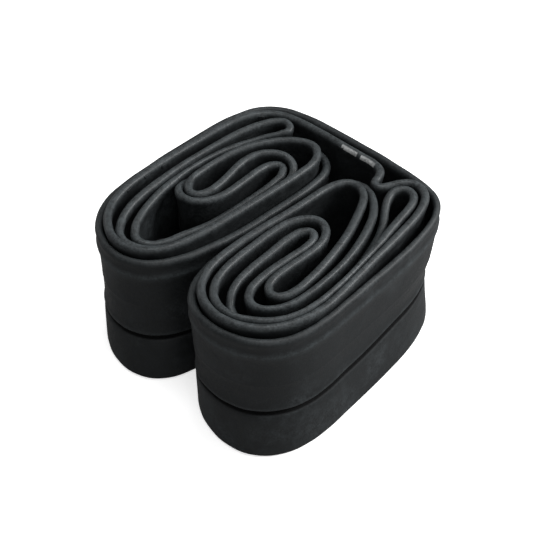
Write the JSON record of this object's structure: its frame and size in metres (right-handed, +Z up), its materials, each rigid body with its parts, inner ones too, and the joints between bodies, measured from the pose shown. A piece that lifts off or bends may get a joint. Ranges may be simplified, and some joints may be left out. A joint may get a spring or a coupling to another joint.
{
  "type": "bicycle inner tube",
  "caption": "Flattened rubber inner tube folded into two rolls joined at the back, with a screw-capped valve standing inside one roll.",
  "frame": {"origin": "centre of the folded pack's footprint, on the surface it stands on", "axes": "+Z up, along the tube's lay-flat width; +X across the two rolls, from the left roll to the right roll; +Y along the rolls, towards the back where two lengths of tube join them"},
  "size_m": [0.0898, 0.094, 0.054],
  "materials": {
    "butyl": "matte black, fine talc-like grain",
    "moulded_rubber": "satin black moulded",
    "brass": "turned",
    "steel": "drawn wire",
    "cap_plastic": "satin black moulded",
    "seal": "smooth"
  },
  "bodies": {
    "left_roll": {"tube_left_wrap": "butyl", "tube_left_main_turn": "butyl", "tube_left_middle_turn": "butyl", "tube_left_inner_turn": "butyl", "valve_patch": "moulded_rubber", "valve_rubber": "moulded_rubber", "valve_stem": "brass", "core_swivel": "brass", "core_barrel": "brass", "core_barrel_gasket": "seal", "core_spring": "steel"},
    "right_roll": {"tube_right_wrap": "butyl", "tube_right_middle_turn": "butyl", "tube_right_small_loop": "butyl", "tube_right_main_turn": "butyl"},
    "pin": {"core_pin": "steel", "core_cup": "brass", "core_cup_washer": "seal"},
    "gasket": {"cap_gasket": "seal"},
    "cap": {"valve_cap": "cap_plastic"}
  },
  "joints": [
    {"name": "rolls_spread", "type": "hinge", "parent": "left_roll", "child": "right_roll", "pos_m": [0.00304, 0.04745, 0], "axis": [0, 0, 1], "range_deg": [0, 40], "stiffness_Nm_per_rad": 0.02},
    {"name": "cap_lift", "type": "slide", "parent": "left_roll", "child": "gasket", "axis": [0, 0, 1], "range_m": [0, 0.0056]},
    {"name": "cap_spin", "type": "hinge", "parent": "gasket", "child": "cap", "pos_m": [-0.02204, -0.02576, 0.033], "axis": [0, 0, 1], "range_deg": [0, 2540]},
    {"name": "pin_press", "type": "slide", "parent": "left_roll", "child": "pin", "axis": [0, 0, -1], "range_m": [0, 0.0012], "stiffness_N_per_m": 300, "springref_m": -0.002, "deforming": ["core_spring"]}
  ],
  "couplings": [
    {"joint": "cap_spin", "follows": "cap_lift", "rad_per_m": 7913.3}
  ]
}
